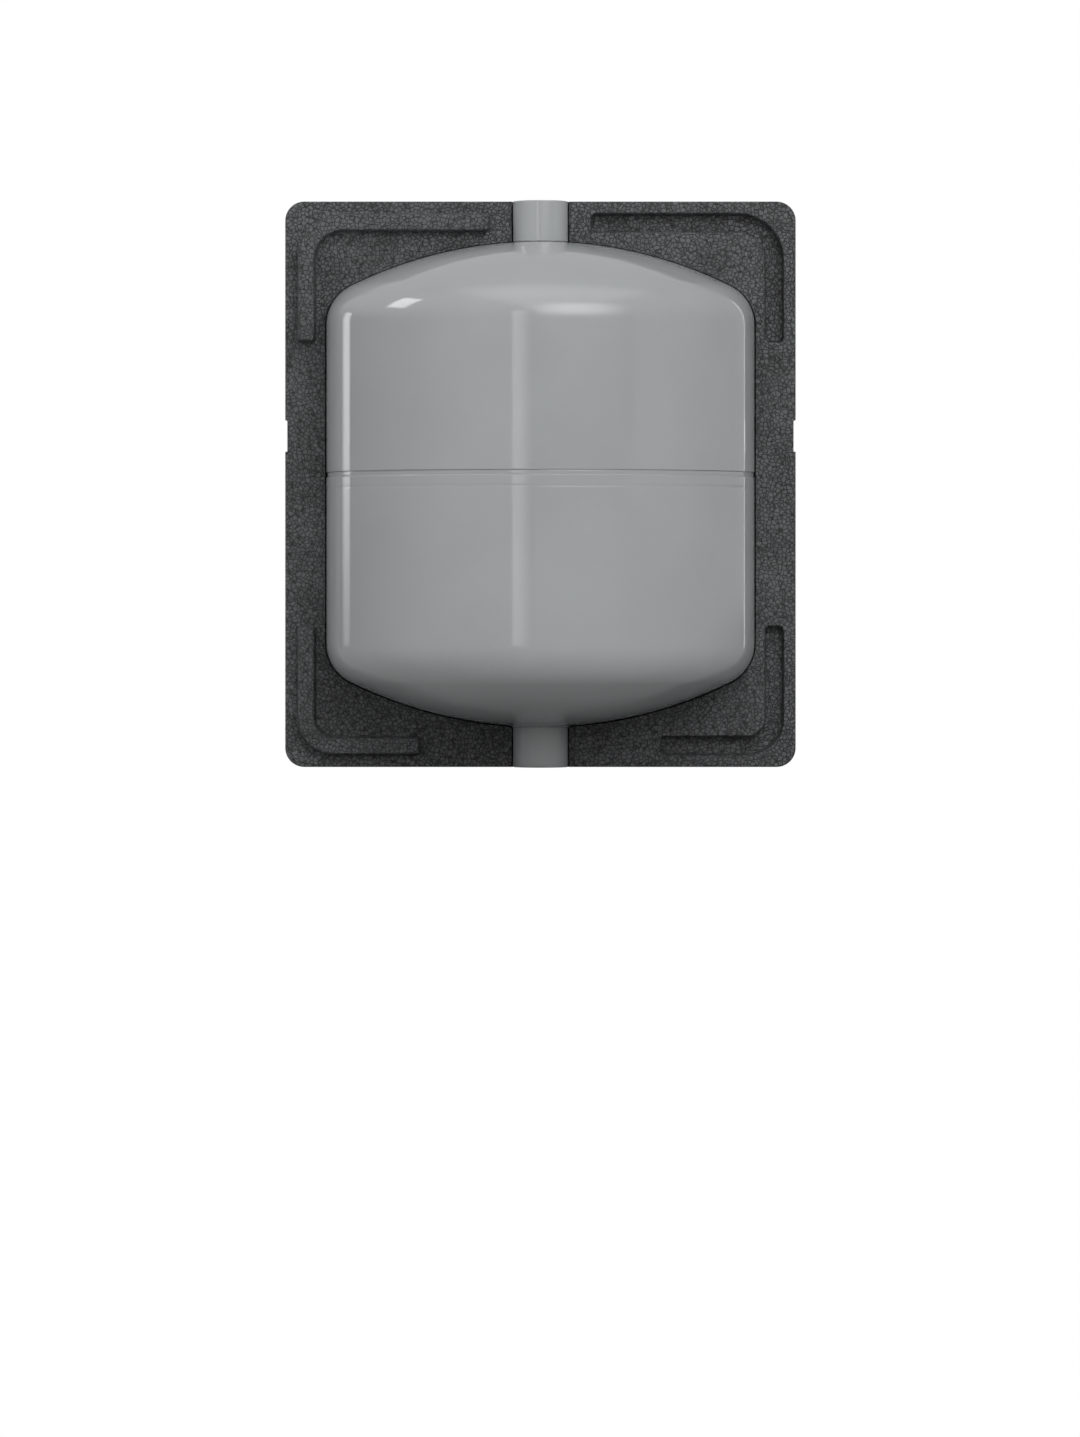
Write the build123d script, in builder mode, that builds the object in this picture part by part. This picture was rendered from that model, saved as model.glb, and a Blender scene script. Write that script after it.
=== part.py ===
from build123d import *
import os
from math import asin, degrees, radians, sqrt, tan

# Diaphragm expansion vessel of the 18 litre class, lying in the rear half of its moulded foam
# insulation.  Millimetres, +Z up along the vessel's axis.  The origin is the centre of the water
# connection's mouth.  The insulation halves part in the plane y = 0, and the rear one is at +Y.

os.makedirs("parts", exist_ok=True)

# ---------------------------------------------------------------- driving dimensions

# pressure vessel: two deep-drawn shells with torispherical heads
overall_height = 370.0  # over both stubs, which end flush with the insulation
body_height = 317.0  # apex to apex
vessel_radius = 140.0
wall = 1.5
crown_radius = 280.0
knuckle_radius = 28.0

# overlap joint of the shells, clamp ring and diaphragm
upper_edge_z = 192.6  # the upper shell's lower edge
weld_height = 3.5
weld_recess = 0.65  # how far the bead stays below the shells' outer face
overlap_height = 12.0
joggle_slope = 1.4
bead_bottom_z = 178.5
bead_top_z = 186.5
bead_depth = 3.9
soft_gap = 0.3  # between the diaphragm and the steel round it
diaphragm_gap = 1.2  # between the resting diaphragm and the lower shell
diaphragm_thickness = 2.0
clamp_ring_thickness = 1.5
clamp_ring_skirt = 2.0  # how far the ring reaches below the rim bead
clamp_lip_gap = 2.0  # between the ring's lip and the shell
bead_neck = 1.0  # height over which the diaphragm widens into its rim bead
shell_fit = 0.05  # radial, between parts that are pressed or welded together

# stubs
stub_radius = 18.0
stub_chamfer = 0.5
socket_stand = 0.5  # of the socket inside the lower head
weld_leg = 1.2
weld_lift = 0.002  # keeps a bead just clear of its head
collar_lift = 0.01
thread_minor_radius = 12.06  # G 3/4 internal thread
thread_length = 18.0
passage_radius = 10.5
guard_radius = 14.0
guard_seat_z = 26.0
guard_thickness = 1.2
guard_hole_radius = 2.4
guard_hole_circle = 8.6
collar_wall = 2.5
plug_thickness = 2.0
plug_skirt_height = 6.0
plug_wall = 1.6
plug_fit = 0.1
plug_recess = 0.5  # below the collar's rim
plug_lead_in = 0.6
plug_edge = 0.4
pry_slot_length = 14.0
pry_slot_width = 3.0
pry_slot_depth = 1.0

# gas valve, a standard tank valve with an 8V1 cap thread
boss_radius = 7.0
boss_bore_radius = 4.1
boss_bottom_z = 338.5
boss_top_z = 346.5
boss_chamfer = 0.6
stem_seal_height = 1.2
stem_seal_inset = 1.2  # of the seal from the boss's edge
stem_fit = 0.1
stem_foot_recess = 1.0
stem_hex_across = 11.0
stem_hex_height = 3.5
stem_thread_radius = 3.85
stem_top_z = 359.0
stem_chamfer = 0.4
core_seat_cone = 0.6
core_bore_radius = 2.6
core_seat_z = 352.3
stem_passage_radius = 2.0
barrel_top_z = 358.0
barrel_radius = 2.5
barrel_shoulder_z = 353.6
barrel_nose_radius = 1.5
barrel_nose_z = 350.6
barrel_floor_z = 354.2
barrel_flat_height = 1.2
barrel_flat_depth = 0.8  # of the two flats for the key
core_seal_fit = 0.1
core_seal_lift = 0.05
spring_chamber_radius = 1.4
pin_hole_radius = 0.9
pin_radius = 0.6
pin_top_z = 358.7
pin_collar_z = 356.9
pin_collar_height = 0.5
pin_collar_radius = 1.25
pin_seal_radius = 1.3
pin_seal_height = 1.3
pin_seal_gap = 0.02
pin_tail = 0.3  # below the seal
pin_chamfer = 0.15
spring_wire = 0.26
spring_turns = 5
spring_end_gap = 0.02  # at either end, so that the coil touches nothing at rest
spring_side_gap = 0.15
cap_radius = 5.5
cap_bottom_z = 352.0
cap_top_z = 361.6
cap_roof = 1.5
cap_thread_fit = 0.08
cap_rib_radius = 0.4  # of the flutes between the ribs
cap_rib_offset = 0.1
cap_smooth_top = 1.6
cap_edge = 0.8
cap_ribs = 24
cap_seal_gap = 0.05
cap_seal_inset = 0.25

# rear insulation half
box_width = 334.0
half_depth = 167.0
outline_radius = 12.5
back_edge_radius = 10.0
front_edge_radius = 1.0
cavity_gap = 0.9
cavity_overrun = 1.0  # of the cutting shape past both ends
strap_centre_z = 216.7
strap_width = 20.8
strap_depth = 1.4
strap_overrun = 30.0  # of the cutting shapes past the block
joint_width = 12.0  # of the tongues and grooves at the parting face
joint_inset = 14.0  # from the outline to their centreline
tongue_height = 9.0
groove_depth = 10.0
joint_draft = 6.0
joint_clearance = 0.3  # of a groove round its tongue, at the parting face
joint_overrun = 0.5
joint_end_radius = 2.5
joint_edge_radius = 1.2
joint_root_radius = 1.0  # at the tongues' feet and the grooves' mouths
top_joint_inner_x = 33.0
top_joint_lower_z = 278.0
top_joint_corner = 24.0
bottom_joint_inner_x = 78.5
bottom_joint_upper_z = 92.0
bottom_joint_corner = 18.0
fill_mark_radius = 11.0  # of the shallow round marks that the mould's filling guns leave
fill_mark_depth = 0.5
fill_mark_x = 105.0
fill_mark_z = 120.0

# ---------------------------------------------------------------- worked out from them

middle_z = overall_height / 2
half_body = body_height / 2
head_height = crown_radius - sqrt(
    (crown_radius - knuckle_radius) ** 2 - (vessel_radius - knuckle_radius) ** 2
)
join_angle = 90 - degrees(
    asin((vessel_radius - knuckle_radius) / (crown_radius - knuckle_radius))
)
inner_radius = vessel_radius - wall
shoulder_z = upper_edge_z - weld_height
joggle_radius = inner_radius - shell_fit
rim_z = upper_edge_z + overlap_height
collar_bore = stub_radius - collar_wall
same_place = 0.01  # two places nearer to each other than this are the same


def head_depth(radius):
    """How far the outer face of a head lies behind its apex at a distance from the axis."""
    return crown_radius - sqrt(crown_radius**2 - radius**2)


def head_side(offset, hole_radius, direction):
    """Crown and knuckle arcs of one head, from the hole outwards.

    offset moves them out of the head's outer face, and direction is 1 for the upper head
    and -1 for the lower one.
    """
    crown_size = crown_radius + offset
    start = 90 - degrees(asin(hole_radius / crown_size))
    crown = CenterArc(
        (0, middle_z + direction * (half_body - crown_radius)),
        crown_size,
        direction * start,
        direction * (join_angle - start),
    )
    knuckle = CenterArc(
        (vessel_radius - knuckle_radius, middle_z + direction * (half_body - head_height)),
        knuckle_radius + offset,
        direction * join_angle,
        -direction * join_angle,
    )
    return crown, knuckle


def ring_part(inner, outer, bottom, top):
    """A plain ring about the axis."""
    with BuildPart() as ring:
        with BuildSketch(Plane.XY.offset(bottom)):
            Circle(outer)
            Circle(inner, mode=Mode.SUBTRACT)
        extrude(amount=top - bottom)
    return ring.part


def bead_part(inner, foot_z, leg, direction):
    """A triangular weld bead round a tube, lying on a head at foot_z and rising along the tube."""
    toe_drop = head_depth(inner + leg) - head_depth(inner) - weld_lift
    with BuildPart() as bead:
        with BuildSketch(Plane.XZ):
            with BuildLine():
                Polyline(
                    (inner, foot_z + direction * weld_lift),
                    (inner + leg, foot_z - direction * toe_drop),
                    (inner, foot_z + direction * leg),
                    close=True,
                )
            make_face()
        revolve(axis=Axis.Z)
    return bead.part


# ---------------------------------------------------------------- shells

# The lower shell's rim is drawn in over a short slope, and the upper shell slips over it.
with BuildPart() as lower_shell:
    with BuildSketch(Plane.XZ):
        with BuildLine():
            crown, knuckle = head_side(0, stub_radius + shell_fit, -1)
            inner_crown, inner_knuckle = head_side(-wall, stub_radius + shell_fit, -1)
            Polyline(
                knuckle @ 1,
                (vessel_radius, shoulder_z),
                (joggle_radius, shoulder_z + joggle_slope),
                (joggle_radius, rim_z),
                (joggle_radius - wall, rim_z),
                (joggle_radius - wall, shoulder_z + joggle_slope - wall / 2),
                (inner_radius, shoulder_z - wall / 2),
                inner_knuckle @ 1,
            )
            Line(crown @ 0, inner_crown @ 0)
        make_face()
    revolve(axis=Axis.Z)
lower_shell.part.label = "lower_shell"
export_step(lower_shell.part, "parts/lower_shell.step")

with BuildPart() as upper_shell:
    with BuildSketch(Plane.XZ):
        with BuildLine():
            crown, knuckle = head_side(0, boss_radius + shell_fit, 1)
            inner_crown, inner_knuckle = head_side(-wall, boss_radius + shell_fit, 1)
            Polyline(
                knuckle @ 1,
                (vessel_radius, upper_edge_z),
                (inner_radius, upper_edge_z),
                inner_knuckle @ 1,
            )
            Line(crown @ 0, inner_crown @ 0)
        make_face()
    revolve(axis=Axis.Z)
upper_shell.part.label = "upper_shell"
export_step(upper_shell.part, "parts/upper_shell.step")

# The seam weld fills the corner between the upper shell's edge and the drawn-in rim.
with BuildPart() as shell_seam_weld:
    with BuildSketch(Plane.XZ):
        with BuildLine():
            weld_face = vessel_radius - weld_recess
            slope_share = weld_recess / (vessel_radius - joggle_radius)
            Polyline(
                (joggle_radius, shoulder_z + joggle_slope),
                (weld_face, shoulder_z + joggle_slope * slope_share),
                (weld_face, upper_edge_z),
                (joggle_radius, upper_edge_z),
                close=True,
            )
        make_face()
    revolve(axis=Axis.Z)
shell_seam_weld.part.label = "shell_seam_weld"
export_step(shell_seam_weld.part, "parts/shell_seam_weld.step")

# ---------------------------------------------------------------- diaphragm and its clamp ring

bead_inner_radius = inner_radius - soft_gap - bead_depth

with BuildPart() as diaphragm_clamp_ring:
    with BuildSketch(Plane.XZ):
        with BuildLine():
            ring_outer = bead_inner_radius - soft_gap
            ring_inner = ring_outer - clamp_ring_thickness
            lip_z = bead_top_z + soft_gap
            Polyline(
                (ring_inner, bead_bottom_z - clamp_ring_skirt),
                (ring_outer, bead_bottom_z - clamp_ring_skirt),
                (ring_outer, lip_z),
                (inner_radius - clamp_lip_gap, lip_z),
                (inner_radius - clamp_lip_gap, lip_z + clamp_ring_thickness),
                (ring_inner, lip_z + clamp_ring_thickness),
                close=True,
            )
        make_face()
    revolve(axis=Axis.Z)
diaphragm_clamp_ring.part.label = "diaphragm_clamp_ring"
export_step(diaphragm_clamp_ring.part, "parts/diaphragm_clamp_ring.step")

# At rest the gas presses the diaphragm down along the lower shell, and its thick rim bead is
# held between that shell and the clamp ring.
with BuildPart() as diaphragm:
    outer_offset = -(wall + diaphragm_gap)
    inner_offset = outer_offset - diaphragm_thickness
    with BuildSketch(Plane.XZ):
        with BuildLine():
            crown, knuckle = head_side(outer_offset, 0, -1)
            inner_crown, inner_knuckle = head_side(inner_offset, 0, -1)
            Polyline(
                knuckle @ 1,
                (vessel_radius + outer_offset, bead_bottom_z - bead_neck),
                (inner_radius - soft_gap, bead_bottom_z),
                (inner_radius - soft_gap, bead_top_z),
                (bead_inner_radius, bead_top_z),
                (bead_inner_radius, bead_bottom_z),
                (vessel_radius + inner_offset, bead_bottom_z - bead_neck),
                inner_knuckle @ 1,
            )
            Line(crown @ 0, inner_crown @ 0)
        make_face()
    revolve(axis=Axis.Z)
diaphragm.part.label = "diaphragm"
export_step(diaphragm.part, "parts/diaphragm.step")

# ---------------------------------------------------------------- water connection

apex_z = middle_z - half_body
socket_top_z = apex_z + wall + socket_stand

with BuildPart() as connection_socket:
    with BuildSketch(Plane.XY):
        Circle(stub_radius)
    extrude(amount=socket_top_z)
    chamfer(connection_socket.edges().group_by(Axis.Z)[0], stub_chamfer)
    with BuildSketch(Plane.XY):
        Circle(thread_minor_radius)
    extrude(amount=thread_length, mode=Mode.SUBTRACT)
    with BuildSketch(Plane.XY):
        Circle(passage_radius)
    extrude(amount=guard_seat_z, mode=Mode.SUBTRACT)
    with BuildSketch(Plane.XY.offset(guard_seat_z)):
        Circle(guard_radius + shell_fit)
    extrude(amount=socket_top_z - guard_seat_z, mode=Mode.SUBTRACT)
connection_socket.part.label = "connection_socket"
export_step(connection_socket.part, "parts/connection_socket.step")

connection_weld = bead_part(stub_radius, apex_z + head_depth(stub_radius), weld_leg, -1)
connection_weld.label = "connection_weld"
export_step(connection_weld, "parts/connection_weld.step")

# A perforated plate keeps the diaphragm from being pressed into the water port.
with BuildPart() as port_guard_plate:
    with BuildSketch(Plane.XY.offset(guard_seat_z)):
        Circle(guard_radius)
        Circle(guard_hole_radius, mode=Mode.SUBTRACT)
        with PolarLocations(guard_hole_circle, 6):
            Circle(guard_hole_radius, mode=Mode.SUBTRACT)
    extrude(amount=guard_thickness)
port_guard_plate.part.label = "port_guard_plate"
export_step(port_guard_plate.part, "parts/port_guard_plate.step")

# ---------------------------------------------------------------- valve collar and its plug

top_apex_z = middle_z + half_body
collar_foot_z = top_apex_z - head_depth(collar_bore) + collar_lift

with BuildPart() as valve_collar:
    with BuildSketch(Plane.XY.offset(collar_foot_z)):
        Circle(stub_radius)
        Circle(collar_bore, mode=Mode.SUBTRACT)
    extrude(amount=overall_height - collar_foot_z)
    chamfer(valve_collar.edges().group_by(Axis.Z)[-1], stub_chamfer)
valve_collar.part.label = "valve_collar"
export_step(valve_collar.part, "parts/valve_collar.step")

collar_weld = bead_part(stub_radius, top_apex_z - head_depth(stub_radius), weld_leg, 1)
collar_weld.label = "collar_weld"
export_step(collar_weld, "parts/collar_weld.step")

# A push-in cup with a slot across its top for prying it out.
with BuildPart() as collar_plug:
    plug_radius = collar_bore - plug_fit
    plug_top_z = overall_height - plug_recess
    plug_roof_z = plug_top_z - plug_thickness
    with BuildSketch(Plane.XY.offset(plug_roof_z - plug_skirt_height)):
        Circle(plug_radius)
    extrude(amount=plug_skirt_height + plug_thickness)
    chamfer(collar_plug.edges().group_by(Axis.Z)[0], plug_lead_in)
    chamfer(collar_plug.edges().group_by(Axis.Z)[-1], plug_edge)
    with BuildSketch(Plane.XY.offset(plug_roof_z)):
        Circle(plug_radius - plug_wall)
    extrude(amount=-plug_skirt_height, mode=Mode.SUBTRACT)
    with BuildSketch(Plane.XY.offset(plug_top_z)):
        SlotOverall(pry_slot_length, pry_slot_width)
    extrude(amount=-pry_slot_depth, mode=Mode.SUBTRACT)
collar_plug.part.label = "collar_plug"
export_step(collar_plug.part, "parts/collar_plug.step")

# ---------------------------------------------------------------- gas valve

with BuildPart() as valve_boss:
    with BuildSketch(Plane.XY.offset(boss_bottom_z)):
        Circle(boss_radius)
        Circle(boss_bore_radius, mode=Mode.SUBTRACT)
    extrude(amount=boss_top_z - boss_bottom_z)
    boss_rim = valve_boss.edges().group_by(Axis.Z)[-1].sort_by(SortBy.RADIUS)[-1]
    chamfer(boss_rim, boss_chamfer)
valve_boss.part.label = "valve_boss"
export_step(valve_boss.part, "parts/valve_boss.step")

valve_boss_weld = bead_part(boss_radius, top_apex_z - head_depth(boss_radius), weld_leg, 1)
valve_boss_weld.label = "valve_boss_weld"
export_step(valve_boss_weld, "parts/valve_boss_weld.step")

hex_bottom_z = boss_top_z + stem_seal_height
hex_top_z = hex_bottom_z + stem_hex_height
shank_radius = boss_bore_radius - stem_fit

valve_stem_seal = ring_part(
    boss_bore_radius, boss_radius - stem_seal_inset, boss_top_z, hex_bottom_z
)
valve_stem_seal.label = "valve_stem_seal"
export_step(valve_stem_seal, "parts/valve_stem_seal.step")

with BuildPart() as valve_stem:
    with BuildSketch(Plane.XY.offset(boss_bottom_z + stem_foot_recess)):
        Circle(shank_radius)
    extrude(amount=hex_bottom_z - boss_bottom_z - stem_foot_recess)
    with BuildSketch(Plane.XY.offset(hex_bottom_z)):
        RegularPolygon(stem_hex_across / 2, 6, major_radius=False)
    extrude(amount=stem_hex_height)
    with BuildSketch(Plane.XY.offset(hex_top_z)):
        Circle(stem_thread_radius)
    extrude(amount=stem_top_z - hex_top_z)
    chamfer(valve_stem.edges().group_by(Axis.Z)[-1], stem_chamfer)
    with BuildSketch(Plane.XZ):
        with BuildLine():
            Polyline(
                (0, stem_top_z),
                (core_bore_radius, stem_top_z),
                (core_bore_radius, core_seat_z),
                (stem_passage_radius, core_seat_z - core_seat_cone),
                (stem_passage_radius, boss_bottom_z),
                (0, boss_bottom_z),
                close=True,
            )
        make_face()
    revolve(axis=Axis.Z, mode=Mode.SUBTRACT)
valve_stem.part.label = "valve_stem"
export_step(valve_stem.part, "parts/valve_stem.step")

# The core screws into the stem: a barrel with two flats for its key, and a seal on its shoulder.
with BuildPart() as valve_core_barrel:
    with BuildSketch(Plane.XZ):
        with BuildLine():
            Polyline(
                (spring_chamber_radius, barrel_top_z),
                (barrel_radius, barrel_top_z),
                (barrel_radius, barrel_shoulder_z),
                (barrel_nose_radius, barrel_shoulder_z),
                (barrel_nose_radius, barrel_nose_z),
                (pin_hole_radius, barrel_nose_z),
                (pin_hole_radius, barrel_floor_z),
                (spring_chamber_radius, barrel_floor_z),
                close=True,
            )
        make_face()
    revolve(axis=Axis.Z)
    with BuildSketch(Plane.XY.offset(barrel_top_z - barrel_flat_height)):
        with Locations((0, barrel_radius), (0, -barrel_radius)):
            Rectangle(2 * barrel_radius, 2 * barrel_flat_depth)
    extrude(amount=barrel_flat_height, mode=Mode.SUBTRACT)
valve_core_barrel.part.label = "valve_core_barrel"
export_step(valve_core_barrel.part, "parts/valve_core_barrel.step")

valve_core_seal = ring_part(
    barrel_nose_radius, core_bore_radius - core_seal_fit, core_seat_z + core_seal_lift,
    barrel_shoulder_z,
)
valve_core_seal.label = "valve_core_seal"
export_step(valve_core_seal, "parts/valve_core_seal.step")

# The pin's collar sits on the spring, and the seal at its foot closes against the barrel's nose.
pin_seal_top_z = barrel_nose_z - pin_seal_gap
pin_bottom_z = pin_seal_top_z - pin_seal_height - pin_tail

with BuildPart() as valve_pin:
    with BuildSketch(Plane.XY.offset(pin_bottom_z)):
        Circle(pin_radius)
    extrude(amount=pin_top_z - pin_bottom_z)
    chamfer(valve_pin.edges().group_by(Axis.Z)[-1], pin_chamfer)
    with BuildSketch(Plane.XY.offset(pin_collar_z)):
        Circle(pin_collar_radius)
    extrude(amount=pin_collar_height)
valve_pin.part.label = "valve_pin"
export_step(valve_pin.part, "parts/valve_pin.step")

valve_pin_seal = ring_part(
    pin_radius, pin_seal_radius, pin_seal_top_z - pin_seal_height, pin_seal_top_z
)
valve_pin_seal.label = "valve_pin_seal"
export_step(valve_pin_seal, "parts/valve_pin_seal.step")

with BuildPart() as valve_spring:
    spring_height = pin_collar_z - barrel_floor_z - spring_wire - 2 * spring_end_gap
    spring_radius = spring_chamber_radius - spring_side_gap - spring_wire / 2
    with BuildLine():
        coil = Helix(
            pitch=spring_height / spring_turns,
            height=spring_height,
            radius=spring_radius,
            center=(0, 0, barrel_floor_z + spring_wire / 2 + spring_end_gap),
        )
    with BuildSketch(Plane(coil @ 0, z_dir=coil % 0)):
        Circle(spring_wire / 2)
    sweep(path=coil, is_frenet=True)
valve_spring.part.label = "valve_spring"
export_step(valve_spring.part, "parts/valve_spring.step")

with BuildPart() as valve_cap:
    with BuildSketch(Plane.XY.offset(cap_bottom_z)):
        Circle(cap_radius)
    extrude(amount=cap_top_z - cap_bottom_z)
    fillet(valve_cap.edges().group_by(Axis.Z)[-1], cap_edge)
    with BuildSketch(Plane.XY.offset(cap_bottom_z)):
        Circle(stem_thread_radius + cap_thread_fit)
    extrude(amount=cap_top_z - cap_roof - cap_bottom_z, mode=Mode.SUBTRACT)
    with BuildSketch(Plane.XY.offset(cap_bottom_z)):
        with PolarLocations(cap_radius + cap_rib_offset, cap_ribs):
            Circle(cap_rib_radius)
    extrude(amount=cap_top_z - cap_bottom_z - cap_smooth_top, mode=Mode.SUBTRACT)
valve_cap.part.label = "valve_cap"
export_step(valve_cap.part, "parts/valve_cap.step")

with BuildPart() as valve_cap_seal:
    with BuildSketch(Plane.XY.offset(stem_top_z + cap_seal_gap)):
        Circle(stem_thread_radius - cap_seal_inset)
    extrude(amount=cap_top_z - cap_roof - stem_top_z - cap_seal_gap)
valve_cap_seal.part.label = "valve_cap_seal"
export_step(valve_cap_seal.part, "parts/valve_cap_seal.step")

# ---------------------------------------------------------------- rear insulation

def joint_outline(side, level, growth):
    """The L-shaped outline of one tongue or groove in the parting face.

    side is -1 at the left and 1 at the right, level is 1 for the upper corner and -1 for the
    lower one, and growth widens the outline all round.
    """
    half_width = joint_width / 2 + growth
    if level > 0:
        inner_x, end_z, corner = top_joint_inner_x, top_joint_lower_z, top_joint_corner
    else:
        inner_x, end_z, corner = (
            bottom_joint_inner_x, bottom_joint_upper_z, bottom_joint_corner
        )
    line_x = box_width / 2 - joint_inset
    line_z = middle_z + level * (middle_z - joint_inset)
    outer_x, near_x = side * (line_x + half_width), side * (line_x - half_width)
    outer_z, near_z = line_z + level * half_width, line_z - level * half_width
    end_x, end_z = side * (inner_x - growth), end_z - level * growth
    with BuildSketch(mode=Mode.PRIVATE) as outline:
        with BuildLine():
            Polyline(
                (end_x, outer_z), (outer_x, outer_z), (outer_x, end_z),
                (near_x, end_z), (near_x, near_z), (end_x, near_z),
                close=True,
            )
        make_face()
        ends = outline.vertices().filter_by(
            lambda v: abs(v.X - end_x) < same_place or abs(v.Y - end_z) < same_place
        )
        fillet(ends, joint_end_radius)
        bend = outline.vertices().sort_by_distance((outer_x, outer_z))[0]
        fillet(bend, corner + half_width)
        bend = outline.vertices().sort_by_distance((near_x, near_z))[0]
        fillet(bend, corner - half_width)
    return outline.sketch


def cavity_profile(radius):
    """Half outline of the vessel and its stubs, grown by the clearance, for the cavity."""
    with BuildLine() as line:
        crown, knuckle = head_side(cavity_gap, radius, -1)
        upper_crown, upper_knuckle = head_side(cavity_gap, radius, 1)
        Line(knuckle @ 1, upper_knuckle @ 1)
        Polyline(
            crown @ 0, (radius, -cavity_overrun), (0, -cavity_overrun),
            (0, overall_height + cavity_overrun), (radius, overall_height + cavity_overrun),
            upper_crown @ 0,
        )
    return line.line


with BuildPart() as rear_insulation:
    # the outer block, its back edges well rounded
    with BuildSketch(Plane.XZ):
        with Locations((0, middle_z)):
            RectangleRounded(box_width, overall_height, outline_radius)
    extrude(amount=-half_depth)
    back_edges = rear_insulation.faces().sort_by(Axis.Y)[-1].edges()
    fillet(back_edges, back_edge_radius)
    front_edges = rear_insulation.faces().sort_by(Axis.Y)[0].edges()
    fillet(front_edges, front_edge_radius)

    # shallow channel for the tension strap round both sides and the back
    with BuildSketch(Plane.XY.offset(strap_centre_z - strap_width / 2)):
        with Locations((0, half_depth / 2)):
            Rectangle(box_width + strap_overrun, half_depth + strap_overrun)
        with BuildSketch(mode=Mode.SUBTRACT):
            with Locations((0, (half_depth - strap_depth) / 2 - strap_overrun)):
                RectangleRounded(
                    box_width - 2 * strap_depth,
                    half_depth - strap_depth + 2 * strap_overrun,
                    back_edge_radius - strap_depth,
                )
    extrude(amount=strap_width, mode=Mode.SUBTRACT)

    # half cavity for the vessel and its stubs
    with BuildSketch(Plane.XZ):
        with BuildLine():
            add(cavity_profile(stub_radius + cavity_gap))
        make_face()
    revolve(axis=Axis.Z, mode=Mode.SUBTRACT)

    # tongues at the left and matching grooves at the right; a groove's floor is narrower than
    # its mouth by the draft
    floor_growth = joint_clearance - groove_depth * tan(radians(joint_draft))
    for level in (1, -1):
        with BuildSketch(Plane.XZ):
            add(joint_outline(-1, level, 0))
        extrude(amount=tongue_height, taper=joint_draft)
        with BuildSketch(Plane.XZ.offset(-groove_depth)):
            add(joint_outline(1, level, floor_growth))
        extrude(amount=groove_depth + joint_overrun, taper=-joint_draft, mode=Mode.SUBTRACT)
    tongue_tops = rear_insulation.faces().filter_by(Plane.XZ).group_by(Axis.Y)[0]
    fillet(tongue_tops.edges(), joint_edge_radius)
    parting_faces = rear_insulation.faces().filter_by(Plane.XZ).filter_by_position(
        Axis.Y, -same_place, same_place
    )
    roots = [edge for face in parting_faces for wire in face.inner_wires() for edge in wire.edges()]
    fillet(roots, joint_root_radius)

    # round marks of the filling guns on the back
    with BuildSketch(Plane.XZ.offset(-half_depth)):
        with Locations((0, middle_z)):
            with GridLocations(2 * fill_mark_x, 2 * fill_mark_z, 2, 2):
                Circle(fill_mark_radius)
    extrude(amount=fill_mark_depth, mode=Mode.SUBTRACT)
rear_insulation.part.label = "rear_insulation"
export_step(rear_insulation.part, "parts/rear_insulation.step")
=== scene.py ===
from math import acos, asin, degrees, pi, radians, sin, sqrt

import bmesh
import bpy
import numpy as np
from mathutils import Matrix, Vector


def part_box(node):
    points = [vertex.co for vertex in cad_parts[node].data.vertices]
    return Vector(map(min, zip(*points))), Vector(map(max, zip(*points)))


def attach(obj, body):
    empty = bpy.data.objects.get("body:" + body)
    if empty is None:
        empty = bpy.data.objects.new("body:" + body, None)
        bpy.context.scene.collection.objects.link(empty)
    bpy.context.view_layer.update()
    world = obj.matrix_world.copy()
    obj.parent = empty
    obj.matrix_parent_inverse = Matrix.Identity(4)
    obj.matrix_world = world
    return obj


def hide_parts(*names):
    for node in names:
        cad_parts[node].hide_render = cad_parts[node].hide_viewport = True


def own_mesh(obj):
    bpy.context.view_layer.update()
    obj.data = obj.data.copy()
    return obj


# An expansion vessel lying in the rear half of its moulded bead-foam insulation.
# The frame gives every place.  The surfaces below are worked out in millimetres and put into
# their meshes in metres.

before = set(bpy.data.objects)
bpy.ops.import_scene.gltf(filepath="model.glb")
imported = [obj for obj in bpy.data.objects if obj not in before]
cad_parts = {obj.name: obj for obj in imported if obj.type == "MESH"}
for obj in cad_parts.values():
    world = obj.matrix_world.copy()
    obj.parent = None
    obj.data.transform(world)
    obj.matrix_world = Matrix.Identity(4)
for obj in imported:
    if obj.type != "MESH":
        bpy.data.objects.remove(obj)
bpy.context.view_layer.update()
MM = 0.001


def reach(node):
    """Outer radius, lowest and highest z of a round CAD node, in millimetres."""
    low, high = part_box(node)
    return high.x / MM, low.z / MM, high.z / MM


# ---------------------------------------------------------------- sizes read from the frame

shell_radius, upper_edge, _ = reach("upper_shell")
_, _, rim_top = reach("lower_shell")
stub_radius, _, socket_top = reach("connection_socket")
_, collar_foot, collar_top = reach("valve_collar")
boss_radius, _, boss_top = reach("valve_boss")
_, guard_seat, _ = reach("port_guard_plate")
bead_outer, _, bead_top = reach("diaphragm")
_, stem_bottom, stem_top = reach("valve_stem")
middle = (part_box("rear_insulation")[1].z / MM) / 2

# sizes that a box can't tell
wall = 1.5  # of the shells
crown = 280.0  # radius of a head's wide arc
knuckle = 28.0  # radius of the tighter arc at its rim
half_body = 158.5  # from the middle to a head's apex
weld_depth = 0.65  # of the seam weld's face below the shells
seam_height = 3.5
lap_gap = 0.05  # between the upper shell and the lower one's drawn-in rim
hole_gap = 0.05  # between a head's hole and the tube in it
stub_wall = 2.5

weld_face = shell_radius - weld_depth
drawn_in = shell_radius - wall - lap_gap
shoulder = upper_edge - seam_height

head_height = crown - sqrt((crown - knuckle) ** 2 - (shell_radius - knuckle) ** 2)
join_angle = 90 - degrees(asin((shell_radius - knuckle) / (crown - knuckle)))
wall_top = middle + half_body - head_height
wall_foot = middle - half_body + head_height
top_apex, bottom_apex = middle + half_body, middle - half_body


# ---------------------------------------------------------------- outlines

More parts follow.
